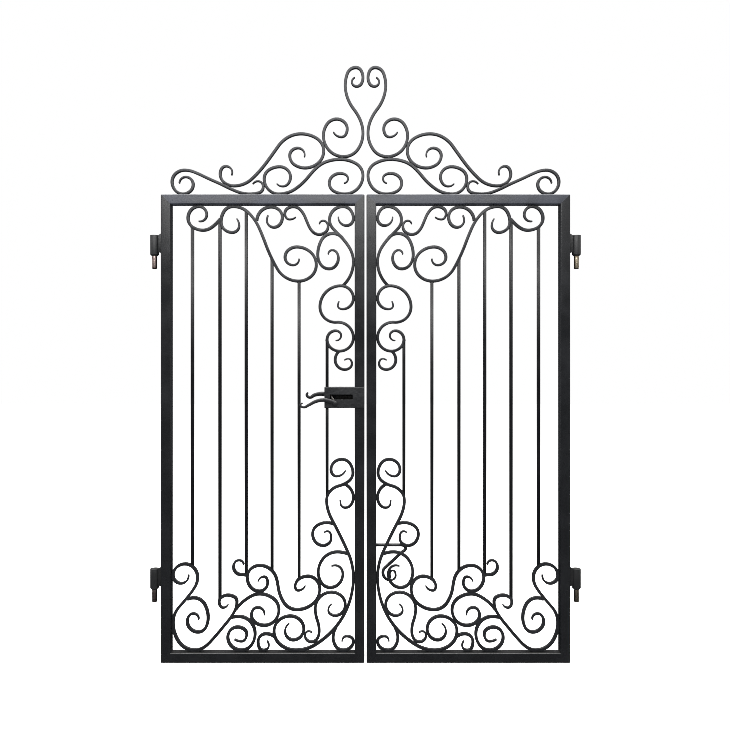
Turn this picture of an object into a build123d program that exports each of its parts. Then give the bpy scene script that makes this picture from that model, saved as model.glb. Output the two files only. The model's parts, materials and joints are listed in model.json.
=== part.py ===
from build123d import *
import os
from cmath import exp, phase
from math import atan2, degrees, radians, sin, sqrt, tan

# A pair of wrought-iron driveway gates, closed, seen from the road side (-Y). Each leaf is a
# mitred box-section frame filled with straight bars and scrolls of square bar. It hangs on two
# stepped pins that stand in the gate posts, and swings away from the road (+Y).
#
# Frame of the whole part: the origin is on the shoulder of the lower left pin, on its axis.
# +X runs to the other leaf, +Z is up, and y = 0 is the middle of both leaves.
# Frame of a leaf: u runs from its hinge edge to its meeting edge, z up from its lower edge.

os.makedirs("parts", exist_ok=True)

# ---------------------------------------------------------------- driving dimensions, in mm
leaf_width = 826
leaf_height = 1900
leaf_gap = 8  # between the two meeting stiles

tube = 40  # frame members: square box section
tube_wall = 3
tube_corner = 4  # outer corner radius of the section
frame_corner = 6  # ground-off corner of the welded frame, seen from the front

bar = 12  # square bar of the infill and of the scrolls
seat = 0.6  # how deep a bar is ground in where it is welded to what it touches
tip_share = 0.5  # thickness of a scroll's drawn-out tip, as a share of the bar
tip_length = 75  # length over which a tip is drawn out

hinge_offset = 30  # from a leaf's outer edge out to its hinge axis
lower_hinge_height = 294  # foot of the lower barrel above the leaf's lower edge
upper_hinge_height = 1652
barrel_radius = 17.5
barrel_height = 84
barrel_chamfer = 6
lug_thickness = 12
lug_rise = 9  # the lug is that much taller at the stile than at the barrel's top
lug_foot = 12  # the lug starts that far above the barrel's foot

pin_radius = 10  # the stretch that stands in the post's socket
pin_length = 52
pin_chamfer = 2
journal_radius = 8  # the stretch on which the barrel turns
journal_length = 60
journal_clearance = 0.08
end_clearance = 0.3  # under the barrel's foot, and above the journal's end

case_height = 85  # latch case, welded between the sixth bar and the meeting stile
case_wall = 3
case_lap = 38  # how far its front and back plates lap over the stile
case_margin = 4  # how far it reaches past the sixth bar
slot_length = 91
slot_height = 19.5
slot_margin = 8  # from the stile's inner face to the slot
slot_rise = 44  # middle of the slot above the case's lower edge

bolt_thickness = 12
bolt_height = 19
bolt_clearance = 0.5  # around the bolt in the stile's walls
bolt_setback = 1  # the bolt's nose behind the leaf's edge when it is drawn back
finger_lean = 31  # degrees from upright, bolt drawn back: the lever lifts by this angle
finger_reach = 42  # spindle to the finger's tip
finger_radius = 5
finger_width = 8
finger_clearance = 1.5
arm_height = 19  # the bolt's arm above its bar, notched for the finger
arm_horn = 7  # the arm beyond the notch
arm_bridge = 5  # the arm above the notch
arm_clearance = 5  # from the arm, bolt drawn back, to the case's wall
bolt_tail = 2  # the bolt's bar starts that far past the spindle

spindle_radius = 6
spindle_clearance = 0.1
spindle_inset = 20  # from the slot's end
spindle_drop = 25  # below the middle of the slot
hub_radius = 10
handle_thickness = 8
front_handle_width = 15.5
back_handle_width = 19
handle_taper = 100  # length over which a handle is drawn out
handle_gap = 5  # between a handle and the case

rod_radius = 6.5  # round rod behind the right leaf's scrolls
rod_standoff = 0.4  # from the back of the scrolls
eye_radius = 3.5  # the rod, drawn out thinner for its eye
eye_taper = 24  # length over which it is drawn out
eye_step = 0.4  # at both ends of the taper

# ---------------------------------------------------------------- derived sizes
half_bar = bar / 2
half_tube = tube / 2
span = 2 * (hinge_offset + leaf_width) + leaf_gap
hinge_rise = upper_hinge_height - lower_hinge_height
inner_face = leaf_width - tube  # of the meeting stile

left_leaf = Plane(origin=(hinge_offset, 0, -lower_hinge_height), x_dir=(1, 0, 0), z_dir=(0, -1, 0))
right_leaf = Plane(
    origin=(span - hinge_offset, 0, -lower_hinge_height), x_dir=(-1, 0, 0), z_dir=(0, 1, 0)
)
leaves = {"left": left_leaf, "right": right_leaf}

# ---------------------------------------------------------------- the scroll pattern
# The pattern is drawn for an opening in which a bar's centre line can run 734 mm across and
# 1808 mm up, from where it touches one stile or rail to where it touches the other one. It keeps
# its proportions: its lower half is measured from the bottom rail and its upper half from the top
# rail, and only the straight bars between them change with the height of the leaf.
pattern_width = 734
pattern_height = 1808
touch = tube + half_bar - seat
stretch = (leaf_width - 2 * touch) / pattern_width

# The cresting is as wide, measured between its own margins, whatever the frame's section is.
crest_margin = 45.4
crest_stretch = (leaf_width - 2 * crest_margin) / pattern_width

# Each scroll is a bar's centre line, given by the points where it runs level or upright, with
# its heading there. It starts and ends in a drawn-out tip or in a weld to another bar.
E, N, W, S = 0, 90, 180, 270
TIP, WELD = "tip", "weld"

# On top of the leaf: z counts from where a bar touches the top rail.
end_scroll = [
    (26, 45, TIP), (52, 69, E), (82, 38, S), (41, 0, W), (-4, 49, N), (47, 97, E), (125, 72, 334),
    (213, 31, 333), (312, 0, E), (367, 28, N), (346, 52, W), (326, 42, TIP),
]
swan_scroll = [
    (239, 78, TIP), (216, 113, W), (192, 81, S), (248, 33, E), (378, 125, 53), (430, 197, 54),
    (521, 245, E), (613, 175, S), (537, 106, W), (475, 156, N), (508, 187, E), (535, 152, TIP),
]
base_scroll = [
    (424, 40, TIP), (446, 31, E), (478, 69, N), (434, 111, W), (371, 62, S), (431, 0, E),
    (550, 69, 51), (588, 110, 41), (680, 141, E), (773, 75, S), (699, 0, W), (636, 44, N), (681, 84, E),
    (712, 62, S), (698, 44, TIP),
]
finial_scroll = [
    (738, 473, TIP), (728, 456, S), (747, 438, E), (773, 474, N), (744, 515, W), (701, 443, S),
    (736, 345, 308), (773, 247, S), (695, 152, W), (612, 237, N), (666, 305, E), (709, 265, S),
    (685, 232, W), (654, 250, TIP),
]

# Inside the frame: z counts from where a bar touches the bottom rail.
hinge_curl = [(107, 1747, TIP), (137, 1774, N), (105, 1808, W), (61, 1760, S), (122, 1711, E),
              (170, 1733, 43), (193, 1757, WELD)]
long_swan = [
    (261, 1756, TIP), (269, 1729, S), (241, 1702, W), (195, 1745, N), (244, 1808, E),
    (350, 1721, 294), (376, 1657, 290), (511, 1504, E), (583, 1570, N), (504, 1643, W),
    (456, 1601, S), (489, 1569, E), (513, 1593, TIP),
]
rail_curl = [(341, 1749, WELD), (399, 1806, E), (445, 1764, S), (410, 1723, W), (382, 1751, N),
             (386, 1770, TIP)]
link_scroll = [(498, 1763, TIP), (475, 1755, W), (455, 1779, N), (489, 1807, E),
               (538, 1763, 292), (550, 1734, 292), (595, 1694, E), (631, 1726, N),
               (611, 1750, W), (596, 1738, TIP)]
corner_scroll = [(673, 1763, TIP), (706, 1730, E), (734, 1759, N), (692, 1808, W),
                 (637, 1754, S), (678, 1690, 316), (734, 1582, S), (693, 1487, WELD)]
corner_curl = [(690, 1679, WELD), (650, 1698, W), (589, 1611, S), (635, 1554, E),
               (673, 1598, N), (648, 1630, W), (632, 1615, TIP)]
latch_scroll = [
    (675, 1420, TIP), (671, 1404, S), (690, 1390, E), (734, 1434, N), (683, 1485, W),
    (598, 1399, S), (734, 1274, S), (678, 1219, W), (627, 1266, N), (662, 1302, E),
    (684, 1282, S), (664, 1262, TIP),
]
latch_curl = [(676, 1219, WELD), (660, 1183, S), (699, 1144, E), (728, 1168, N), (713, 1188, W),
              (699, 1183, TIP)]

foot_scroll = [
    (63, 305, TIP), (33, 272, W), (0, 304, N), (49, 351, E), (100, 296, S), (72, 232, 232),
    (0, 111, S), (89, 0, E), (150, 32, 47), (225, 120, 51), (260, 198, N), (223, 224, W),
    (188, 195, S), (205, 173, E), (223, 184, TIP),
]
foot_curl = [(58, 207, WELD), (85, 213, E), (143, 133, S), (103, 74, W), (58, 118, N),
             (83, 149, E), (105, 127, TIP)]
middle_curl = [(256, 165, WELD), (292, 203, 37), (353, 229, E), (431, 164, S), (371, 101, W),
               (319, 143, N), (345, 174, E), (372, 145, TIP)]
floor_curl = [(238, 134, WELD), (268, 137, E), (334, 67, S), (278, 0, W), (223, 53, N),
              (262, 94, E), (300, 65, S), (278, 36, W), (252, 43, TIP)]
cradle_scroll = [
    (347, 282, TIP), (370, 299, E), (385, 274, S), (351, 240, W), (302, 296, N), (353, 345, E),
    (421, 292, 286), (428, 256, 278), (504, 165, E), (597, 249, N), (549, 301, W), (497, 259, S),
    (510, 243, E), (537, 260, TIP),
]
cradle_curl = [(297, 306, WELD), (276, 308, W), (246, 340, N), (269, 366, E), (287, 350, TIP)]
spine_scroll = [
    (471, 107, TIP), (456, 77, S), (490, 42, E), (532, 87, N), (477, 139, W), (411, 77, S),
    (500, 0, E), (646, 76, 46), (734, 296, N), (667, 493, 117), (641, 543, 115), (625, 610, N),
    (676, 669, 14), (732, 722, N), (687, 777, W), (643, 735, S), (666, 708, E), (701, 729, TIP),
]
spine_curls = [
    [(416, 52, WELD), (379, 67, W), (346, 34, S), (367, 0, E), (390, 19, N), (384, 36, TIP)],
    [(698, 676, WELD), (734, 622, S), (701, 580, W), (682, 597, N), (680, 609, TIP)],
    [(655, 514, WELD), (624, 519, W), (568, 473, S), (611, 426, E), (644, 457, N),
     (628, 484, W), (617, 480, TIP)],
    [(714, 391, WELD), (669, 400, W), (591, 317, S), (640, 255, E), (691, 310, N),
     (660, 345, W), (647, 343, TIP)],
    [(665, 95, WELD), (652, 50, S), (692, 0, E), (734, 36, N), (708, 57, W), (688, 38, TIP)],
]
kneeling_scroll = [
    (645, 186, TIP), (632, 163, S), (660, 141, E), (701, 185, N), (645, 236, W), (579, 168, S),
    (595, 77, S), (564, 34, W), (537, 60, N), (552, 77, E), (564, 73, TIP),
]

# Straight bars: place across the leaf, lower and upper end, each end on a scroll's centre line.
straight_bars = [
    (79, 341, 1724), (191, 208, 1751), (298, 308, 1789), (403, 323, 1592), (513, 290, 1504),
]
latch_bar_place = 627
latch_bar_ends = (630, 1264)
latch_place = 1031  # middle of the latch case on the same scale


def inside(u, z):
    """A point of the pattern inside the frame, as a complex number in the leaf's frame."""
    if z < pattern_height / 2:
        return complex(touch + u * stretch, touch + z * stretch)
    return complex(touch + u * stretch, leaf_height - touch - (pattern_height - z) * stretch)


def above(u, z):
    """A point of the pattern on top of the frame."""
    return complex(
        crest_margin + u * crest_stretch, leaf_height + half_bar - seat + z * crest_stretch
    )


def arc_to(start, heading, end):
    """The circular arc that leaves start on this heading and ends at end."""
    chord = end - start
    turn = 2 * phase(chord / heading)
    middle = (start + end) / 2 - 1j * chord / 2 * tan(turn / 4)
    return start, middle, end, heading, turn


def arc_into(start, end, heading):
    """The circular arc that leaves start and reaches end on this heading."""
    turn = 2 * phase(heading / (end - start))
    return arc_to(start, heading * exp(-1j * turn), end)


def two_arcs(start, start_heading, end, end_heading):
    """Two circular arcs, smooth where they meet, between two points with their headings."""
    def dot(a, b):
        return (a * b.conjugate()).real

    chord = end - start
    along = dot(chord, start_heading + end_heading)
    bend = 2 * (1 - dot(start_heading, end_heading))
    if bend < 1e-9:
        reach = dot(chord, chord) / (2 * along)
    else:
        reach = (sqrt(along ** 2 + bend * dot(chord, chord)) - along) / bend
    joint = (start + end + reach * (start_heading - end_heading)) / 2
    return [arc_to(start, start_heading, joint), arc_into(joint, end, end_heading)]


def centre_line(path, place):
    """The arcs of a bent bar, from its list of points and headings."""
    points = [place(u, z) for u, z, _ in path]
    headings = [None if h in (TIP, WELD) else exp(1j * radians(h)) for _, _, h in path]
    arcs = [arc_into(points[0], points[1], headings[1])]
    for i in range(1, len(path) - 2):
        arcs += two_arcs(points[i], headings[i], points[i + 1], headings[i + 1])
    arcs.append(arc_to(points[-2], headings[-2], points[-1]))
    return arcs


def bent_bar(path, place=inside, width=bar, taper=tip_length, mode=Mode.ADD):
    """The outline of a bent bar in the present sketch, thinner towards each drawn-out tip."""
    arcs = centre_line(path, place)
    radii = [abs(end - start) / 2 / max(abs(sin(turn / 2)), 1e-9) for start, _, end, _, turn in arcs]
    lengths = [radius * abs(turn) for radius, (*_, turn) in zip(radii, arcs)]
    total = sum(lengths)

    def half_width(distance):
        left = min(
            distance if path[0][2] == TIP else taper,
            total - distance if path[-1][2] == TIP else taper,
            taper,
        )
        return width / 2 * (tip_share + (1 - tip_share) * left / taper)

    sides = {1: [], -1: []}
    travelled = 0
    for (start, middle, end, heading, turn), length in zip(arcs, lengths):
        stations = []
        for share, point in ((0, start), (0.5, middle), (1, end)):
            normal = 1j * heading * exp(1j * turn * share)
            stations.append((point, normal, half_width(travelled + share * length)))
        travelled += length
        for side, runs in sides.items():
            runs.append(([point + side * half * normal for point, normal, half in stations], turn))

    def draw(runs):
        for (first, second, third), turn in runs:
            if abs(turn) < 0.02:
                Line(pair(first), pair(third))
            else:
                ThreePointArc(pair(first), pair(second), pair(third))

    def cap(first, last, kind, outwards):
        if kind == TIP:
            bulge = (first + last) / 2 + outwards * abs(last - first) / 2
            ThreePointArc(pair(first), pair(bulge), pair(last))
        else:
            Line(pair(first), pair(last))

    left, right = sides[1], sides[-1]
    start_heading = arcs[0][3]
    end_heading = arcs[-1][3] * exp(1j * arcs[-1][4])
    with BuildLine() as outline:
        draw(left)
        cap(left[-1][0][2], right[-1][0][2], path[-1][2], end_heading)
        draw([(run[::-1], turn) for run, turn in right[::-1]])
        cap(right[0][0][0], left[0][0][0], path[0][2], -start_heading)
    make_face(outline.edges(), mode=mode)


def pair(point):
    return point.real, point.imag


def keep(part, name):
    """Label a finished piece and write its STEP file."""
    part.label = name
    export_step(part, f"parts/{name}.step")


def scrollwork(side, name, own, coped_to=(), place=inside):
    """One piece of scrollwork: its bent bars, cut back to the frame and to what they touch."""
    with BuildPart() as piece:
        with BuildSketch(leaves[side]):
            for path in own:
                bent_bar(path, place)
            for path in coped_to:
                bent_bar(path, place, mode=Mode.SUBTRACT)
            if place is inside:
                with Locations((leaf_width / 2, leaf_height / 2)):
                    Rectangle(leaf_width - 2 * tube, leaf_height - 2 * tube, mode=Mode.INTERSECT)
            else:
                with Locations((leaf_width / 2, leaf_height)):
                    Rectangle(2 * leaf_width, leaf_height, align=(Align.CENTER, Align.MIN),
                              mode=Mode.INTERSECT)
        extrude(amount=half_bar, both=True)
    keep(piece.part, f"{side}_{name}")


def leaf_point(side, u, z, y=0):
    """A point of the leaf's frame, in the frame of the whole part."""
    direction = 1 if side == "left" else -1
    origin = leaves[side].origin
    return Vector(origin.X + direction * u, y, origin.Z + z)


def frame_member(side, name, first, last, holes=()):
    """A box-section member along one outer edge of the leaf, mitred at both ends."""
    start = leaf_point(side, *first)
    end = leaf_point(side, *last)
    middle = leaf_point(side, leaf_width / 2, leaf_height / 2)
    length = (end - start).length
    run = (end - start).normalized()
    inwards = middle - start
    inwards = (inwards - run * inwards.dot(run)).normalized()
    section = Plane(origin=start + inwards * half_tube, x_dir=inwards, z_dir=run)
    with BuildPart() as member:
        with BuildSketch(section):
            RectangleRounded(tube, tube, tube_corner)
            Rectangle(tube - 2 * tube_wall, tube - 2 * tube_wall, mode=Mode.SUBTRACT)
        extrude(amount=length)
        with BuildSketch(Plane(origin=start, x_dir=run, z_dir=run.cross(inwards))):
            with BuildLine():
                Polyline((0, 0), (length, 0), (length - tube, tube), (tube, tube), close=True)
            make_face()
        extrude(amount=half_tube, both=True, mode=Mode.INTERSECT)
        with BuildSketch(leaves[side]):
            with Locations((leaf_width / 2, leaf_height / 2)):
                RectangleRounded(leaf_width, leaf_height, frame_corner)
        extrude(amount=half_tube, both=True, mode=Mode.INTERSECT)
        for hole in holes:
            hole()
    keep(member.part, f"{side}_{name}")


# ---------------------------------------------------------------- latch places, leaf frame
latch_bar_u = inside(latch_bar_place, 0).real
case_low = inside(0, latch_place).imag - case_height / 2
slot_right = inner_face - slot_margin
slot_left = slot_right - slot_length
slot_z = case_low + slot_rise
spindle_u = slot_left + spindle_inset
spindle_z = slot_z - spindle_drop
bolt_throw = finger_reach * sin(radians(finger_lean))
nose_u = leaf_width - bolt_setback
notch_u = spindle_u - bolt_throw
arm_left = notch_u - finger_radius - finger_clearance - arm_horn
case_left = min(latch_bar_u - half_bar - case_margin, arm_left - arm_clearance - case_wall)


def bolt_passage(side, u_from, u_to):
    """The rectangular hole for the latch bolt through a stile's walls."""
    middle = leaf_point(side, (u_from + u_to) / 2, slot_z)
    with Locations(middle):
        Box(u_to - u_from, bolt_thickness + 2 * bolt_clearance,
            bolt_height + 2 * bolt_clearance, mode=Mode.SUBTRACT)


# ---------------------------------------------------------------- frames of both leaves
wall_u = leaf_width - tube_wall  # inside of the meeting stile's outer wall
stile_holes = {
    "left": [lambda: bolt_passage("left", inner_face - 1, leaf_width + 1)],
    "right": [lambda: bolt_passage("right", wall_u - 1, leaf_width + 1)],
}
for side in leaves:
    frame_member(side, "hinge_stile", (0, 0), (0, leaf_height))
    frame_member(side, "meeting_stile", (leaf_width, 0), (leaf_width, leaf_height), stile_holes[side])
    frame_member(side, "bottom_rail", (0, 0), (leaf_width, 0))
    frame_member(side, "top_rail", (0, leaf_height), (leaf_width, leaf_height))

# ---------------------------------------------------------------- scrolls and bars
for side in leaves:
    scrollwork(side, "end_scroll", [end_scroll], place=above)
    scrollwork(side, "swan_scroll", [swan_scroll], [end_scroll], place=above)
    scrollwork(side, "base_scroll", [base_scroll], [end_scroll, swan_scroll], place=above)
    scrollwork(side, "finial_scroll", [finial_scroll], [swan_scroll, base_scroll], place=above)

    long_group = [hinge_curl, long_swan, rail_curl]
    scrollwork(side, "long_swan", long_group)
    scrollwork(side, "link_scroll", [link_scroll], long_group)
    scrollwork(side, "latch_scroll", [latch_scroll, latch_curl])
    corner_group = [corner_scroll, corner_curl]
    scrollwork(side, "corner_scroll", corner_group, [long_swan, link_scroll, latch_scroll])

    foot_group = [foot_scroll, foot_curl, middle_curl, floor_curl]
    spine_group = [spine_scroll] + spine_curls
    scrollwork(side, "foot_scroll", foot_group)
    scrollwork(side, "spine_scroll", spine_group, foot_group)
    scrollwork(side, "kneeling_scroll", [kneeling_scroll], spine_group)
    cradle_group = [cradle_scroll, cradle_curl]
    scrollwork(side, "cradle_scroll", cradle_group, foot_group + spine_group + [kneeling_scroll])

    with BuildPart() as bars:
        with BuildSketch(leaves[side]):
            for place_u, low, high in straight_bars:
                foot = inside(place_u, low)
                head = inside(place_u, high)
                with Locations(pair(foot)):
                    Rectangle(bar, (head - foot).imag, align=(Align.CENTER, Align.MIN))
            latch_foot = inside(latch_bar_place, latch_bar_ends[0])
            latch_head = inside(latch_bar_place, latch_bar_ends[1])
            with Locations(pair(latch_foot)):
                Rectangle(bar, (latch_head - latch_foot).imag, align=(Align.CENTER, Align.MIN))
            carriers = long_group + [latch_scroll] + foot_group + cradle_group + spine_group
            for path in carriers:
                bent_bar(path, mode=Mode.SUBTRACT)
            if side == "left":
                with Locations((latch_bar_u, case_low)):
                    Rectangle(2 * bar, case_height, align=(Align.CENTER, Align.MIN),
                              mode=Mode.SUBTRACT)
        extrude(amount=half_bar, both=True)
    keep(bars.part, f"{side}_bars")

# ---------------------------------------------------------------- hinges
for side in leaves:
    for level, height in (("lower", lower_hinge_height), ("upper", upper_hinge_height)):
        foot = leaf_point(side, -hinge_offset, height + end_clearance)
        with BuildPart() as hinge:
            with BuildSketch(leaves[side]):
                lug_low = height + lug_foot
                lug_high = height + barrel_height
                with BuildLine():
                    Polyline(
                        (-hinge_offset, lug_low + lug_rise),
                        (0, lug_low),
                        (0, lug_high + lug_rise),
                        (-hinge_offset, lug_high - lug_rise),
                        close=True,
                    )
                make_face()
            extrude(amount=lug_thickness / 2, both=True)
            with BuildSketch(Plane(origin=foot, z_dir=(0, 0, 1))):
                Circle(barrel_radius)
            barrel = extrude(amount=barrel_height - end_clearance)
            foot_rim = hinge.edges().filter_by(GeomType.CIRCLE).sort_by(Axis.Z)[0]
            chamfer(foot_rim, barrel_chamfer)
            with BuildSketch(Plane(origin=foot, z_dir=(0, 0, 1))):
                Circle(journal_radius + journal_clearance)
            extrude(amount=journal_length, mode=Mode.SUBTRACT)
        keep(hinge.part, f"{side}_{level}_hinge")

for side in leaves:
    with BuildPart() as pins:
        for height in (lower_hinge_height, upper_hinge_height):
            shoulder = leaf_point(side, -hinge_offset, height)
            with BuildSketch(Plane(origin=shoulder, z_dir=(0, 0, -1))):
                Circle(pin_radius)
            extrude(amount=pin_length)
            with BuildSketch(Plane(origin=shoulder, z_dir=(0, 0, 1))):
                Circle(journal_radius)
            extrude(amount=journal_length)
        foot_rims = pins.edges().filter_by(GeomType.CIRCLE).group_by(SortBy.RADIUS)[-1]
        low_rims = [rim for rim in foot_rims if not any(
            abs(rim.center().Z - leaf_point(side, 0, height).Z) < 1
            for height in (lower_hinge_height, upper_hinge_height)
        )]
        chamfer(low_rims, pin_chamfer)
    keep(pins.part, f"{side}_hinge_pins")

# ---------------------------------------------------------------- latch on the left leaf
plate_y = half_tube + case_wall
with BuildPart() as latch_case:
    with BuildSketch(left_leaf):
        with Locations((case_left, case_low)):
            Rectangle(inner_face + case_lap - case_left, case_height, align=Align.MIN)
    extrude(amount=plate_y, both=True)
    with BuildSketch(left_leaf):
        with Locations((case_left + case_wall, case_low + case_wall)):
            Rectangle(inner_face - case_left - case_wall, case_height - 2 * case_wall,
                      align=Align.MIN)
        with Locations((inner_face, case_low)):
            Rectangle(leaf_width, case_height, align=Align.MIN)
    extrude(amount=half_tube, both=True, mode=Mode.SUBTRACT)
    with BuildSketch(left_leaf):
        with Locations((slot_left, slot_z - slot_height / 2)):
            Rectangle(slot_length, slot_height, align=Align.MIN)
    extrude(amount=plate_y, mode=Mode.SUBTRACT)
    with BuildSketch(left_leaf):
        with Locations((spindle_u, spindle_z)):
            Circle(spindle_radius + spindle_clearance)
    extrude(amount=plate_y, both=True, mode=Mode.SUBTRACT)
keep(latch_case.part, "latch_case")

arm_low = slot_z + bolt_height / 2
tail_u = spindle_u + bolt_tail
with BuildPart() as latch_bolt:
    with BuildSketch(left_leaf):
        with Locations((tail_u, slot_z - bolt_height / 2)):
            Rectangle(nose_u - tail_u, bolt_height, align=Align.MIN)
        with Locations((arm_left, arm_low)):
            Rectangle(tail_u + arm_height - arm_left, arm_height, align=Align.MIN)
        with Locations((notch_u, arm_low)):
            Rectangle(2 * (finger_radius + finger_clearance), arm_height - arm_bridge,
                      align=(Align.CENTER, Align.MIN), mode=Mode.SUBTRACT)
    extrude(amount=bolt_thickness / 2, both=True)
keep(latch_bolt.part, "latch_bolt")

spindle_end = plate_y + handle_gap + handle_thickness
with BuildPart() as latch_spindle:
    with BuildSketch(left_leaf):
        with Locations((spindle_u, spindle_z)):
            Circle(spindle_radius)
    extrude(amount=spindle_end, both=True)
    with BuildSketch(left_leaf):
        with Locations((spindle_u, spindle_z)):
            Circle(hub_radius)
            with Locations(Rotation(0, 0, finger_lean)):
                Rectangle(finger_width, finger_reach, align=(Align.CENTER, Align.MIN))
                with Locations((0, finger_reach)):
                    Circle(finger_radius)
    extrude(amount=bolt_thickness / 2 - 1, both=True)
keep(latch_spindle.part, "latch_spindle")

# The handles: places from the spindle, the hub being part of each forging.
front_handle = [(0, 4, WELD), (-48, 14, W), (-105, -6, 208), (-127, -15, W), (-140, -6, N),
                (-131, 2, TIP)]
back_handle = [(0, 2, WELD), (-50, 36, W), (-85, 32, 195), (-108, 22, W), (-119, 32, N),
               (-114, 42, TIP)]
handles = (
    (front_handle, front_handle_width, -1),
    (back_handle, back_handle_width, 1),
)


def from_spindle(u, z):
    return complex(spindle_u + u, spindle_z + z)


with BuildPart() as latch_handles:
    for path, width, near in handles:
        face_y = near * (plate_y + handle_gap)
        face = Plane(origin=left_leaf.origin + Vector(0, face_y, 0), x_dir=(1, 0, 0), z_dir=(0, -1, 0))
        with BuildSketch(face):
            with Locations((spindle_u, spindle_z)):
                Circle(hub_radius)
            bent_bar(path, from_spindle, width, handle_taper)
            with Locations((spindle_u, spindle_z)):
                Circle(spindle_radius, mode=Mode.SUBTRACT)
        extrude(amount=-near * handle_thickness)
keep(latch_handles.part, "latch_handles")

# ---------------------------------------------------------------- low rod on the right leaf
# It leaves the meeting stile level, turns down, slants back towards the stile and ends in an eye.
rod_path = [(742, 425, WELD), (640, 425, W), (619, 412, S), (636, 394, 317), (688.5, 345, WELD)]
eye_path = [(702, 332.7, WELD), (706, 329, 317), (712, 312, S), (682, 281, W), (660, 300, N),
            (672, 321, E), (684, 306, S), (683, 289, WELD)]
eye_draft = degrees(atan2(rod_radius - eye_radius - 2 * eye_step, eye_taper))
rod_y = half_bar + rod_standoff + rod_radius
rod_plane = Plane(origin=right_leaf.origin + Vector(0, rod_y, 0), x_dir=(-1, 0, 0), z_dir=(0, 1, 0))


def round_rod(arcs, radius):
    """A round rod along these arcs in the rod's plane, added to the present piece."""
    with BuildLine(rod_plane) as route:
        for start, middle, end, _, turn in arcs:
            if abs(turn) < 0.02:
                Line(pair(start), pair(end))
            else:
                ThreePointArc(pair(start), pair(middle), pair(end))
    wire = route.wires()[0]
    with BuildSketch(Plane(origin=wire @ 0, z_dir=wire % 0)) as section:
        Circle(radius)
    sweep(section.sketch, path=wire)
    return wire


with BuildPart() as low_rod:
    straight = round_rod(centre_line(rod_path, inside), rod_radius)
    with Locations(leaf_point("right", inner_face, latch_foot.imag)):
        Box(tube, 2 * tube, leaf_height, align=(Align.MAX, Align.CENTER, Align.CENTER),
            mode=Mode.SUBTRACT)
    with BuildSketch(Plane(origin=straight @ 1, z_dir=straight % 1)):
        Circle(rod_radius - eye_step)
    extrude(amount=eye_taper, taper=eye_draft)
    round_rod(centre_line(eye_path, inside), eye_radius)
keep(low_rod.part, "right_low_rod")

print(f"pair of leaves {span + 2 * barrel_radius:.0f} mm wide, "
      f"bolt throw {bolt_throw:.2f} mm, spindle at {leaf_point('left', spindle_u, spindle_z)}")
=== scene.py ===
# %% [markdown]
# # A wrought-iron driveway gate, finished in Blender
#
# The frame that this lesson starts from holds a pair of gate leaves as exact solids: box-section
# frames, square bars, scrolls, hinges and a lever latch. Their sizes are final. What the solids
# lack is what a smith's hands and a tin of paint leave behind: softened edges, weld beads,
# hammer marks, black enamel, dust and bare metal. Each cell below adds one of these.

# %% Load the frame
import json
import math

import bpy
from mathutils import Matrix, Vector
from mathutils.bvhtree import BVHTree


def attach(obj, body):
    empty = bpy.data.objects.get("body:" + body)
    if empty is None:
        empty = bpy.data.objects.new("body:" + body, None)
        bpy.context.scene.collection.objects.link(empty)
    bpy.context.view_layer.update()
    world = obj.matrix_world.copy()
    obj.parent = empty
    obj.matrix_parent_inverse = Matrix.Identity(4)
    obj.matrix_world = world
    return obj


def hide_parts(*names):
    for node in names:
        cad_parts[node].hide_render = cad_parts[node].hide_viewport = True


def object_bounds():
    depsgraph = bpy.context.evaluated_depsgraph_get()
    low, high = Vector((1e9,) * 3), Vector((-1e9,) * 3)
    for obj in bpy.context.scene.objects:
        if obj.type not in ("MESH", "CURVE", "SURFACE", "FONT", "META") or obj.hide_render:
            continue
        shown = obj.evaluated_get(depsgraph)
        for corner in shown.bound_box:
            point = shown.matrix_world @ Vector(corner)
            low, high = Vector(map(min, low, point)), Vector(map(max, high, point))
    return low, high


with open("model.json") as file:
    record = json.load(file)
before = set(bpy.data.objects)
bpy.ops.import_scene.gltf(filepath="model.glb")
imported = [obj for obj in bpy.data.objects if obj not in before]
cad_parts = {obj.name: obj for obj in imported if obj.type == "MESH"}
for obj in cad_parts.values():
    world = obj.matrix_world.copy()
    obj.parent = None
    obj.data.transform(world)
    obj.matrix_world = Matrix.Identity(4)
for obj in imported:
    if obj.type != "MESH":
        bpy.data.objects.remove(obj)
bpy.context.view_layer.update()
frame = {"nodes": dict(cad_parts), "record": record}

nodes = frame["nodes"]
groups = frame["record"]["behaviour"]["bodies"]
node_body = {node: body for body, members in groups.items() for node in members}
MM = 0.001

# %% [markdown]
# ## Helpers for colours and nodes
#
# Paint charts give colours as sRGB hex values, but a shader wants linear light, so one function
# turns the one into the other. A second one adds a node to a material, sets its sockets and joins
# its links in one call, which keeps each material below about as short as its description.

# %% Colour and node helpers
def linear(hex_colour):
    """A hex colour such as #1c1d20 as linear red, green, blue and alpha."""
    channels = [int(hex_colour[i:i + 2], 16) / 255 for i in (1, 3, 5)]
    return [c / 12.92 if c <= 0.04045 else ((c + 0.055) / 1.055) ** 2.4 for c in channels] + [1.0]


def add_node(tree, kind, inputs=None, **properties):
    """A node of that kind. An input is a value, or an output of another node that feeds it."""
    node = tree.nodes.new(kind)
    for name, value in properties.items():
        setattr(node, name, value)
    for name, value in (inputs or {}).items():
        if isinstance(value, bpy.types.NodeSocket):
            tree.links.new(value, node.inputs[name])
        else:
            node.inputs[name].default_value = value
    return node


def empty_material(name):
    """A new material and its empty node tree."""
    material = bpy.data.materials.new(name)
    material.use_nodes = True
    material.node_tree.nodes.clear()
    return material, material.node_tree


def per_metre(millimetres):
    """The scale of a texture whose features are that far apart, on coordinates in metres."""
    return 1 / (millimetres * MM)


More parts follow.
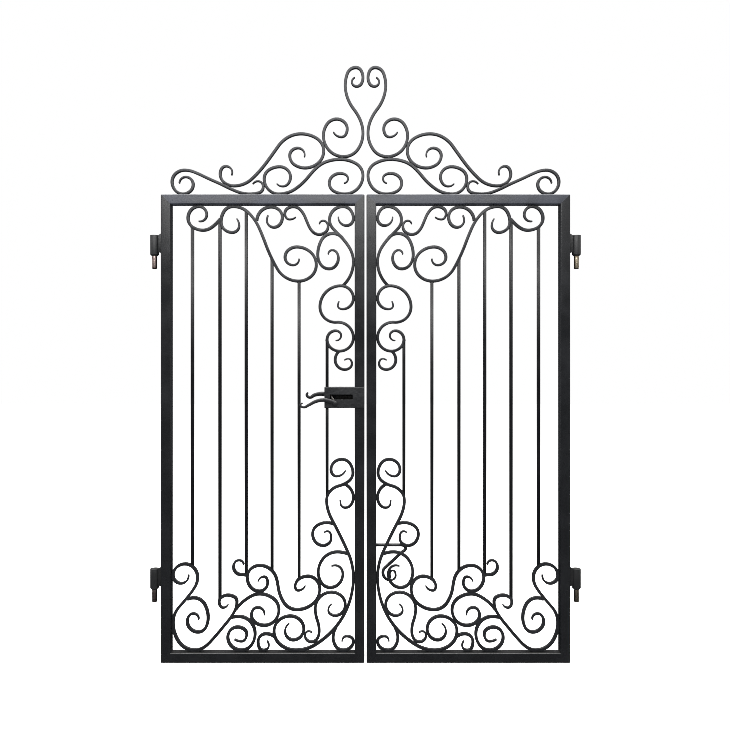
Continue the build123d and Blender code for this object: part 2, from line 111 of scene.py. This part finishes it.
# %% [markdown]
# ## Black gate enamel
#
# The gate is finished in alkyd enamel, the usual black for ironwork: a binder with an IOR near
# 1.5 that dries to a satin film. To the eye it is a near-black coat, faintly blue, with a soft
# sheen that picks up the sky on whatever leans upwards. Three things keep it from looking like
# plastic: the sheen drifts over a hand's breadth, where the coat went on thicker; a fine grain
# of dust and brush marks breaks the highlights up; and dust settles on what faces up.
#
# One function mixes every coat, since most of them differ only in what lies under them. Rolled
# section is nearly flat. Hot-worked bar carries shallow facets about as wide as the bar, where the
# hammer and the scroll former touched it. The straight bars get less gloss than the rest,
# because they look darker in the photo than the section does, and a darker colour, which is
# painted shade. The top rails look lighter, and get a lighter, bluer colour, which is a painted
# sheen of the sky.

# %% Mix the enamel
enamel_ior = 1.45


def mix_colours(tree, amount, first, second):
    """The colour between first and second, by amount from 0 to 1."""
    mixed = add_node(tree, "ShaderNodeMix", {0: amount, 6: first, 7: second}, data_type="RGBA")
    return mixed.outputs[2]


def enamel(name, colour, thin_colour, roughness, facet_mm, facet_height_mm,
           grain_strength=0.35, gloss=0.5):
    """Black enamel over iron whose surface has facets that wide and that deep."""
    material, tree = empty_material(name)
    place = add_node(tree, "ShaderNodeTexCoord").outputs["Object"]
    drift = add_node(tree, "ShaderNodeTexNoise",
                     {"Vector": place, "Scale": per_metre(90), "Detail": 3.0})
    grain = add_node(tree, "ShaderNodeTexNoise",
                     {"Vector": place, "Scale": per_metre(2.5), "Detail": 3.0})
    facets = add_node(tree, "ShaderNodeTexVoronoi",
                      {"Vector": place, "Scale": per_metre(facet_mm), "Smoothness": 0.6},
                      feature="SMOOTH_F1")

    # A thin coat is lighter, and dust lies where the surface looks up.
    thinness = add_node(tree, "ShaderNodeMapRange", {"Value": drift.outputs["Fac"], "From Min": 0.4,
                                                     "From Max": 0.7, "To Max": 0.7})
    coat = mix_colours(tree, thinness.outputs["Result"], linear(colour), linear(thin_colour))
    normal = add_node(tree, "ShaderNodeNewGeometry").outputs["Normal"]
    facing = add_node(tree, "ShaderNodeSeparateXYZ", {"Vector": normal})
    settled = add_node(tree, "ShaderNodeMapRange", {"Value": facing.outputs["Z"], "From Min": 0.3,
                                                    "From Max": 1.0, "To Max": 0.35})
    dust = add_node(tree, "ShaderNodeMath",
                    {0: settled.outputs["Result"], 1: grain.outputs["Fac"]}, operation="MULTIPLY")
    dusted = mix_colours(tree, dust.outputs["Value"], coat, linear("#5c5a56"))

    # The sheen drifts, and the facets and the grain break it up.
    sheen = add_node(tree, "ShaderNodeMapRange",
                     {"Value": drift.outputs["Fac"], "From Min": 0.3, "From Max": 0.7,
                      "To Min": roughness - 0.05, "To Max": roughness + 0.08})
    worked = add_node(tree, "ShaderNodeBump", {"Height": facets.outputs["Distance"], "Strength": 0.6,
                                               "Distance": facet_height_mm * MM})
    grainy = add_node(tree, "ShaderNodeBump",
                      {"Height": grain.outputs["Fac"], "Normal": worked.outputs["Normal"],
                       "Strength": grain_strength, "Distance": 0.06 * MM})
    shader = add_node(tree, "ShaderNodeBsdfPrincipled",
                      {"Base Color": dusted, "Roughness": sheen.outputs["Result"],
                       "Normal": grainy.outputs["Normal"], "IOR": enamel_ior,
                       "Specular IOR Level": gloss})
    add_node(tree, "ShaderNodeOutputMaterial", {"Surface": shader.outputs["BSDF"]})
    return material


section_enamel = enamel("black_enamel_on_rolled_section", "#141517", "#1b1c1f", 0.25, 55, 0.1, 0.12)
# Painted sheen: the top rail gets a lighter, bluer copy of the enamel, standing in for the sky that
# it mirrors.
painted_sheen_enamel = enamel("weathered_enamel_on_top_rail", "#24262d", "#3e414b", 0.3, 55, 0.1, 0.1)
# Painted shade: the straight bars get a darker copy of the enamel.
bar_enamel = enamel("black_enamel_on_straight_bar", "#0e0f10", "#151618", 0.24, 30, 0.1, 0.15, 0.35)
scroll_enamel = enamel("black_enamel_on_hot_worked_bar", "#191a1d", "#232529", 0.36, 11, 0.45)
hinge_enamel = enamel("black_enamel_on_turned_barrel", "#1a1b1c", "#262627", 0.42, 7, 0.35)
latch_enamel = enamel("black_enamel_on_hammered_plate", "#18191b", "#232426", 0.36, 13, 0.6)
print(len(bpy.data.materials), "materials so far")

# %% [markdown]
# ## Bare metal: the pins and the bolt
#
# The pins are turned from bar on a lathe and were never painted, because paint would bind in
# the barrel. Turning leaves fine rings round the pin, and years outdoors leave a warm tarnish:
# pinkish where a copper-coloured grease has stained the left pins, straw-coloured on the right
# ones. A metal keeps the default IOR; its colour and its roughness say what it is.
#
# The bolt is black iron, rubbed bright along its edges by the keep, under a film of grease.

# %% Bare metals
def bare_metal(name, colour, tarnish, roughness, ring_mm, worn_within_mm=None):
    """Turned metal with rings that far apart along Z, tarnished in soft patches.

    With worn_within_mm, it is painted black farther than that from the plane of the leaf.
    """
    material, tree = empty_material(name)
    place = add_node(tree, "ShaderNodeTexCoord").outputs["Object"]
    rings = add_node(tree, "ShaderNodeTexWave",
                     {"Vector": place, "Scale": per_metre(ring_mm) / math.tau, "Distortion": 1.5,
                      "Detail": 2.0},
                     wave_type="BANDS", bands_direction="Z")
    stain = add_node(tree, "ShaderNodeTexNoise",
                     {"Vector": place, "Scale": per_metre(9), "Detail": 4.0})
    amount = add_node(tree, "ShaderNodeMapRange",
                      {"Value": stain.outputs["Fac"], "From Min": 0.4, "From Max": 0.65})
    tint = mix_colours(tree, amount.outputs["Result"], linear(colour), linear(tarnish))
    dulled = add_node(tree, "ShaderNodeMapRange",
                      {"Value": amount.outputs["Result"], "To Min": roughness,
                       "To Max": roughness + 0.2})
    cut = add_node(tree, "ShaderNodeBump",
                   {"Height": rings.outputs["Fac"], "Strength": 0.4, "Distance": 0.05 * MM})
    shader = add_node(tree, "ShaderNodeBsdfPrincipled",
                      {"Base Color": tint, "Roughness": dulled.outputs["Result"],
                       "Normal": cut.outputs["Normal"], "Metallic": 1.0})
    surface = shader.outputs["BSDF"]
    if worn_within_mm is not None:
        depth = add_node(tree, "ShaderNodeSeparateXYZ", {"Vector": place}).outputs["Y"]
        distance = add_node(tree, "ShaderNodeMath", {0: depth}, operation="ABSOLUTE")
        painted = add_node(tree, "ShaderNodeMath",
                           {0: distance.outputs["Value"], 1: worn_within_mm * MM},
                           operation="GREATER_THAN")
        paint = add_node(tree, "ShaderNodeBsdfPrincipled",
                         {"Base Color": linear("#18191b"), "Roughness": 0.4, "IOR": enamel_ior})
        both = add_node(tree, "ShaderNodeMixShader",
                        {0: painted.outputs["Value"], 1: surface, 2: paint.outputs["BSDF"]})
        surface = both.outputs["Shader"]
    add_node(tree, "ShaderNodeOutputMaterial", {"Surface": surface})
    return material


copper_greased_steel = bare_metal(
    "turned_steel_with_copper_grease", "#938682", "#52403b", 0.3, 0.8)
straw_tarnished_steel = bare_metal(
    "turned_steel_with_straw_tarnish", "#989080", "#5a4f3e", 0.32, 0.8)
greased_iron = bare_metal("greased_black_iron", "#3a3937", "#1e1d1c", 0.34, 1.2)
worn_finger = bare_metal(
    "spindle_steel_worn_by_the_bolt", "#a7a4a0", "#6a625a", 0.36, 1.2, worn_within_mm=9)
print(len(bpy.data.materials), "materials in all")

# %% [markdown]
# ## Edges that were rolled and filed
#
# A solid from CAD has knife edges, and no bar has: hot rolling leaves a radius of about a
# millimetre, and it is this radius that catches a thin line of light down each bar. A shader
# could fake it, but the outline would stay sharp close up. So each bar is a copy of its solid:
# its triangles are merged, its flat faces are dissolved back into single faces, and a Bevel
# modifier rounds every edge sharper than the angle between two facets of a curve.

# %% Soften a copy of a solid
sharp_edge = math.radians(38)  # sharper than this is rounded
smooth_below = math.radians(32)  # flatter than this is shaded smooth
same_point = 0.004 * MM
flat_enough = math.radians(0.4)


def select_only(piece):
    """Makes piece the only selected object, and the active one."""
    bpy.ops.object.select_all(action="DESELECT")
    piece.select_set(True)
    bpy.context.view_layer.objects.active = piece


def merged_copy(node, name):
    """A new object with the node's shape: corners shared, and each flat face in one piece."""
    piece = bpy.data.objects.new(name, nodes[node].data.copy())
    bpy.context.scene.collection.objects.link(piece)
    select_only(piece)
    bpy.ops.mesh.customdata_custom_splitnormals_clear()
    bpy.ops.object.mode_set(mode="EDIT")
    bpy.ops.mesh.select_all(action="SELECT")
    bpy.ops.mesh.remove_doubles(threshold=same_point)
    bpy.ops.mesh.dissolve_limited(angle_limit=flat_enough)
    bpy.ops.object.mode_set(mode="OBJECT")
    return piece


def apply_modifier(piece, kind, **settings):
    """Adds a modifier with these settings and applies it."""
    modifier = piece.modifiers.new(kind.lower(), kind)
    for name, value in settings.items():
        setattr(modifier, name, value)
    select_only(piece)
    bpy.ops.object.modifier_apply(modifier=modifier.name)


def finish_piece(piece, node, material):
    """Gives piece its material and body, in place of the node."""
    piece.data.materials.clear()
    piece.data.materials.append(material)
    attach(piece, node_body[node])
    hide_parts(node)
    return piece


def soften(node, radius_mm, material, segments=2):
    """Replaces the node with a copy whose edges are rounded."""
    piece = merged_copy(node, node + "_worked")
    apply_modifier(piece, "BEVEL", width=radius_mm * MM, segments=segments, limit_method="ANGLE",
                   angle_limit=sharp_edge, use_clamp_overlap=True, miter_outer="MITER_ARC")
    bpy.ops.object.shade_smooth_by_angle(angle=smooth_below)
    return finish_piece(piece, node, material)


# %% [markdown]
# ## Frames, bars and scrolls
#
# The frame members already have the radius of rolled box section, so they are only smoothed.
# The straight bars are softened by about a millimetre. The scrolls were worked hot, and are
# rounded twice as far. Each stays a piece of its own, on the leaf that carries it.

# %% Dress the leaves
bar_edge_mm = 1.2
scroll_edge_mm = 2.4
frame_members = [node for node in nodes if node.endswith(("_stile", "_rail"))]
scroll_nodes = [node for node in nodes if node.endswith(("_scroll", "_swan", "_bars"))]

for node in frame_members:
    member = merged_copy(node, node + "_section")
    select_only(member)
    bpy.ops.object.shade_smooth_by_angle(angle=smooth_below)
    # The top rails take the enamel whose lighter colour is painted sheen.
    coat = painted_sheen_enamel if node.endswith("top_rail") else section_enamel
    finish_piece(member, node, coat)

for node in scroll_nodes:
    if node.endswith("_bars"):
        # The straight bars take the enamel whose darker colour is painted shade.
        soften(node, bar_edge_mm, bar_enamel)
    else:
        soften(node, scroll_edge_mm, scroll_enamel, segments=3)
print(len(frame_members), "frame members and", len(scroll_nodes), "groups of bars and scrolls")

# %% [markdown]
# ## Weld beads
#
# Where two bars touch, a bead of weld holds them. It fills the notch on each side of the touch,
# which thickens every junction a little. The touches are found from the solids themselves: each
# bar was cut back to what it meets, so the corners of that cut lie on its neighbour's surface.
# Their two outermost points give the place, the direction and the length of the bead.

# %% Find the touches and lay the beads
bead_overrun = 3.6 * MM
bead_width = 2.5 * MM
bead_depth = 5.5 * MM
shortest_weld = 3 * MM


def world_shape(node):
    """The corners of a node and a search tree of its surface."""
    place = nodes[node].matrix_world
    corners = [place @ vertex.co for vertex in nodes[node].data.vertices]
    faces = [polygon.vertices[:] for polygon in nodes[node].data.polygons]
    return corners, BVHTree.FromPolygons(corners, faces)


def touches(corners, tree, reach=18 * MM, slack=0.12 * MM):
    """The two ends of each stretch on which a piece with these corners lies against the tree."""
    found = []
    for corner in corners:
        if tree.find_nearest(corner, slack)[0] is None:
            continue
        spot = Vector((corner.x, 0, corner.z))
        for group in found:
            if any((spot - other).length < reach for other in group):
                group.append(spot)
                break
        else:
            found.append([spot])
    ends = [max(((a, b) for a in group for b in group), key=lambda pair: (pair[0] - pair[1]).length)
            for group in found]
    return [(a, b) for a, b in ends if (a - b).length > shortest_weld]


def empty_piece(name):
    """A new object at the origin, open in edit mode, with nothing in it yet."""
    bpy.ops.object.select_all(action="DESELECT")
    bpy.ops.mesh.primitive_uv_sphere_add(segments=8, ring_count=4, radius=1 * MM)
    piece = bpy.context.object
    piece.name = name
    bpy.ops.object.mode_set(mode="EDIT")
    bpy.ops.mesh.select_all(action="SELECT")
    bpy.ops.mesh.delete(type="VERT")
    return piece


for side in ("left", "right"):
    own = [node for node in scroll_nodes + frame_members if node.startswith(side)]
    shapes = {node: world_shape(node) for node in own}
    beads = empty_piece(side + "_weld_beads")
    count = 0
    welds = [(first, second) for first in own for second in own
             if first not in frame_members and second != first]
    for first, second in welds:
        for a, b in touches(shapes[first][0], shapes[second][1]):
            lean = math.atan2(b.z - a.z, b.x - a.x)
            bpy.ops.mesh.primitive_uv_sphere_add(
                segments=14, ring_count=8, radius=1, location=(a + b) / 2, rotation=(0, -lean, 0),
                scale=((a - b).length / 2 + bead_overrun, bead_depth, bead_width))
            count += 1
    bpy.ops.object.mode_set(mode="OBJECT")
    bpy.ops.object.shade_smooth()
    beads.data.materials.append(scroll_enamel)
    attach(beads, side + "_leaf")
    print(side, count, "beads", len(beads.data.polygons), "faces")

# %% [markdown]
# ## Forged and hammered fittings
#
# The latch plates were planished, so they have no flat face and no even edge. A voxel remesh
# gives the whole surface an even skin, a Displace modifier dents it by a few tenths of a
# millimetre, and a smoothing pass rounds what the voxels left. The hinges were turned, and only
# need their edges broken.

# %% Hammer and file the fittings
def forge(node, edge_mm, voxel_mm, dent_mm, dent_height_mm, smoothing, material):
    """Replaces the node with a hammered copy whose edges are first rounded."""
    piece = merged_copy(node, node + "_forged")
    apply_modifier(piece, "BEVEL", width=edge_mm * MM, segments=3, limit_method="ANGLE",
                   angle_limit=sharp_edge, use_clamp_overlap=True)
    apply_modifier(piece, "REMESH", mode="VOXEL", voxel_size=voxel_mm * MM)
    hammer = bpy.data.textures.new(node + "_dents", "CLOUDS")
    hammer.noise_scale = dent_mm * MM
    hammer.noise_depth = 1
    apply_modifier(piece, "DISPLACE", texture=hammer, texture_coords="GLOBAL",
                   strength=dent_height_mm * MM, mid_level=0.6)
    apply_modifier(piece, "SMOOTH", factor=0.5, iterations=smoothing)
    bpy.ops.object.shade_smooth()
    return finish_piece(piece, node, material)


def thicken_eye(rod):
    """Swells the low rod towards its eye, so that its thickness fades over the last bend."""
    shank_end, bend, eye = 0.957, 0.934, 0.962  # along X, in metres
    shank_foot, swell_top = 0.075, 0.11  # along Z
    most_mm, least_mm = 3, 1  # at the bend, and round the rest of the eye
    weights = rod.vertex_groups.new(name="eye")
    for vertex in rod.data.vertices:
        x, z = vertex.co.x, vertex.co.z
        if z > shank_foot:
            swell_mm = most_mm * (shank_end - x) / (shank_end - bend)
        elif x < eye:
            swell_mm = least_mm + (most_mm - least_mm) * (eye - x) / (eye - bend)
        else:
            swell_mm = least_mm
        if z < swell_top:
            weights.add([vertex.index], min(max(swell_mm / most_mm, 0), 1), "REPLACE")
    apply_modifier(rod, "DISPLACE", strength=most_mm * MM, mid_level=0.0, vertex_group="eye")


for node in ("left_lower_hinge", "left_upper_hinge", "right_lower_hinge", "right_upper_hinge"):
    soften(node, 0.8, hinge_enamel)
forge("latch_case", 1.0, 1.1, 11, 0.9, 3, latch_enamel)

# %% [markdown]
# ## The handles
#
# A handle is drawn out at the anvil: it starts in a boss round the spindle, swells to its grip,
# and tapers to an end that is curled over. That is a curve with a round bevel, which gets its
# thickness point by point, flattened afterwards, with a flattened ball for the boss. The front
# handle hangs lower and reaches farther than the back one. Their curves follow the solids that
# they replace.

# %% Draw out the handles
lever = next(joint for joint in frame["record"]["behaviour"]["joints"]
             if joint["name"] == "latch_lever_turn")
spindle = Vector(lever["pos_m"])
handle_plane = 32 * MM  # from the middle of the leaf to the middle of a handle
handle_flatness = 0.42
boss_radius = 10 * MM
boss_flatness = handle_flatness * 0.95
front, back = -1, 1

# From the spindle, in mm: along the leaf, up, and half the width there.
handle_stations = {
    front: [(0, 3, 7.7), (-24, 11, 7.7), (-48, 14, 7.7), (-78, 8, 6.9), (-105, -6, 6.0),
            (-127, -15, 5.0), (-140, -6, 4.3), (-131, 2, 3.0)],
    back: [(0, 2, 8.5), (-20, 27, 9.2), (-50, 36, 9.4), (-85, 32, 7.6), (-108, 22, 6.4),
           (-119, 32, 5.4), (-114, 42, 3.5)],
}


def drawn_out_handle(face, stations):
    """One handle as a mesh, on that face of the leaf, through these stations."""
    bpy.ops.object.select_all(action="DESELECT")
    bpy.ops.curve.primitive_bezier_curve_add()
    handle = bpy.context.object
    handle.data.bevel_depth = 1 * MM
    handle.data.bevel_resolution = 6
    handle.data.resolution_u = 10
    handle.data.use_fill_caps = True
    points = handle.data.splines[0].bezier_points
    points.add(len(stations) - len(points))
    for point, (along, up, half_width) in zip(points, stations):
        point.co = spindle + Vector((along * MM, face * handle_plane, up * MM))
        point.handle_left_type = point.handle_right_type = "AUTO"
        point.radius = half_width
    bpy.ops.object.convert(target="MESH")
    bpy.ops.object.mode_set(mode="EDIT")
    bpy.ops.mesh.select_all(action="SELECT")
    bpy.ops.transform.resize(value=(1, handle_flatness, 1),
                             center_override=(spindle.x, face * handle_plane, spindle.z))
    bpy.ops.mesh.primitive_uv_sphere_add(
        segments=32, ring_count=16, radius=1,
        location=spindle + Vector((0, face * handle_plane, 0)),
        scale=(boss_radius, boss_radius * boss_flatness, boss_radius))
    bpy.ops.object.mode_set(mode="OBJECT")
    return handle


halves = [drawn_out_handle(face, stations) for face, stations in handle_stations.items()]
bpy.ops.object.select_all(action="DESELECT")
for half in halves:
    half.select_set(True)
bpy.context.view_layer.objects.active = halves[0]
bpy.ops.object.join()
handles = bpy.context.object
handles.name = "latch_handles_drawn_out"
bpy.ops.object.shade_smooth()
finish_piece(handles, "latch_handles", latch_enamel)
print("two handles with", len(handles.data.polygons), "faces")

# %% [markdown]
# ## Spindle, bolt, low rod and pins
#
# These were turned or filed, so only their edges are broken. The low rod is also thickened at
# its last bend and round its eye, which look heavier in the photo than the solid is.

# %% Finish the small parts
soften("latch_spindle", 0.9, worn_finger)
low_rod = soften("right_low_rod", 0.6, scroll_enamel)
thicken_eye(low_rod)
soften("latch_bolt", 0.6, greased_iron)
for node, metal in (("left_hinge_pins", copper_greased_steel),
                    ("right_hinge_pins", straw_tarnished_steel)):
    soften(node, 0.5, metal)

# %% [markdown]
# ## The studio
#
# Black paint shows less of its own colour than of what surrounds it: it is a dark mirror. In an
# all-white room the gate would turn grey, and its bars would thin out, because their sides
# mirror the room at a glance. So grey cards stand before and behind it and lie on the ground
# there, as a hedge and a lawn would. They show in reflections only, so the gate can be looked at
# from any side. The floor and the world are white to the camera and in reflections, and dimmer
# as sources of light.

# %% Floor and cards
low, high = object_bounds()
middle = (low + high) / 2
floor_gap = 60 * MM


def mirrored_or_seen(tree):
    """1 for a ray from the camera, off a gloss or through glass, and 0 for one that lights."""
    rays = add_node(tree, "ShaderNodeLightPath").outputs
    seen = add_node(tree, "ShaderNodeMath", {0: rays["Is Camera Ray"], 1: rays["Is Glossy Ray"]},
                    operation="MAXIMUM")
    any_of_them = add_node(tree, "ShaderNodeMath",
                           {0: seen.outputs["Value"], 1: rays["Is Transmission Ray"]},
                           operation="MAXIMUM")
    return any_of_them.outputs["Value"]


def flat_rectangle(name, size, location, tilt):
    """A plane of that size, leaning back by tilt, in a material of its own."""
    bpy.ops.object.select_all(action="DESELECT")
    bpy.ops.mesh.primitive_plane_add(size=1, location=location, rotation=(tilt, 0, 0))
    rectangle = bpy.context.object
    rectangle.name = name
    rectangle.scale = (*size, 1)
    material, tree = empty_material(name)
    rectangle.data.materials.append(material)
    return rectangle, tree


def stage_plane(name, size, location, tilt, colour, white_share):
    """A part of the studio, white_share of whose brightness doesn't depend on the lamps."""
    plane, tree = flat_rectangle(name, size, location, tilt)
    matt = add_node(tree, "ShaderNodeBsdfDiffuse", {"Color": linear(colour)})
    glow = add_node(tree, "ShaderNodeMath", {0: mirrored_or_seen(tree), 1: white_share},
                    operation="MULTIPLY")
    white = add_node(tree, "ShaderNodeEmission", {"Strength": glow.outputs["Value"]})
    both = add_node(tree, "ShaderNodeAddShader",
                    {0: matt.outputs["BSDF"], 1: white.outputs["Emission"]})
    add_node(tree, "ShaderNodeOutputMaterial", {"Surface": both.outputs["Shader"]})


def reflection_card(name, size, location, tilt, brightness):
    """A card that only reflections show: it neither lights the gate nor throws a shadow."""
    card, tree = flat_rectangle(name, size, location, tilt)
    grey = add_node(tree, "ShaderNodeEmission",
                    {"Color": linear("#dfe3ea"), "Strength": brightness})
    add_node(tree, "ShaderNodeOutputMaterial", {"Surface": grey.outputs["Emission"]})
    card.visible_camera = card.visible_diffuse = False
    card.visible_transmission = card.visible_shadow = False


floor_level = low.z - floor_gap
floor_width = 40
card_distance = 4.6
card_width = 16
card_lift = 5 * MM  # a ground card over the floor
upright = math.radians(90)
stage_plane("studio_floor", (floor_width, floor_width), (middle.x, 0, floor_level), 0,
            "#e8e8e6", 0.75)
for name, side, top, brightness, ground_brightness in (
        ("front", -1, 2.1, 0.15, 0.15),
        ("back", 1, 4.3, 0.1, 0.03)):
    height = top - floor_level
    reflection_card(name + "_card", (card_width, height),
                    (middle.x, side * card_distance, floor_level + height / 2), upright, brightness)
    reflection_card(name + "_ground_card", (card_width, card_distance),
                    (middle.x, side * card_distance / 2, floor_level + card_lift), 0,
                    ground_brightness)

# %% [markdown]
# ## The world
#
# It is white behind the gate, and gives less light than it shows.

# %% World
world_light, world_seen = 0.45, 1.0
world = bpy.data.worlds.new("white_studio")
bpy.context.scene.world = world
world.use_nodes = True
sky = world.node_tree
sky.nodes.clear()
strength = add_node(sky, "ShaderNodeMapRange",
                    {"Value": mirrored_or_seen(sky), "To Min": world_light, "To Max": world_seen})
background = add_node(sky, "ShaderNodeBackground",
                      {"Color": (1, 1, 1, 1), "Strength": strength.outputs["Result"]})
add_node(sky, "ShaderNodeOutputWorld", {"Surface": background.outputs["Background"]})
print("world with", len(sky.nodes), "nodes")

# %% [markdown]
# ## Lamps
#
# A narrow strip high in front paints the sheen that fades from the top rail downwards. A broad
# box above it and another one overhead light the tops of the cresting.

# %% Lamps
def soft_box(name, location, target, size, watts):
    """A rectangular lamp at location that faces target."""
    lamp = bpy.data.lights.new(name, "AREA")
    lamp.shape = "RECTANGLE"
    lamp.size, lamp.size_y = size  # in metres
    lamp.energy = watts
    holder = bpy.data.objects.new(name, lamp)
    bpy.context.scene.collection.objects.link(holder)
    holder.location = location
    aim = Vector(target) - Vector(location)
    holder.rotation_euler = aim.to_track_quat("-Z", "Y").to_euler()


soft_box("sky_strip", (middle.x - 0.4, -3.6, 2.6), (middle.x, 0, 1.6), (3.6, 0.4), 46)
soft_box("sky_box", (middle.x - 0.5, -3.0, 4.5), (middle.x, 0, 1.0), (6.0, 2.6), 170)
soft_box("top_box", (middle.x, 0.2, 4.6), (middle.x, 0, 1.0), (5.0, 3.0), 400)
print(len(bpy.data.lights), "lamps")

# %% [markdown]
# ## The camera
#
# The gate is seen square-on from the road, from 2.9 m away and near half its height, with the
# camera level so that the uprights stay parallel. A filter narrower than the usual one keeps the
# thin bars crisp.

# %% Camera
camera_distance = 2.9
camera_height = 0.914
camera_shift = -0.002
camera = bpy.data.cameras.new("camera")
camera.sensor_width = 36
camera.lens = 35.07
camera_holder = bpy.data.objects.new("camera", camera)
bpy.context.scene.collection.objects.link(camera_holder)
camera_holder.location = (middle.x + camera_shift, -camera_distance, camera_height)
camera_holder.rotation_euler = (math.radians(90), 0, 0)
bpy.context.scene.camera = camera_holder
bpy.context.scene.view_settings.view_transform = "Standard"
bpy.context.scene.cycles.filter_width = 0.8
print("camera at", tuple(camera_holder.location))
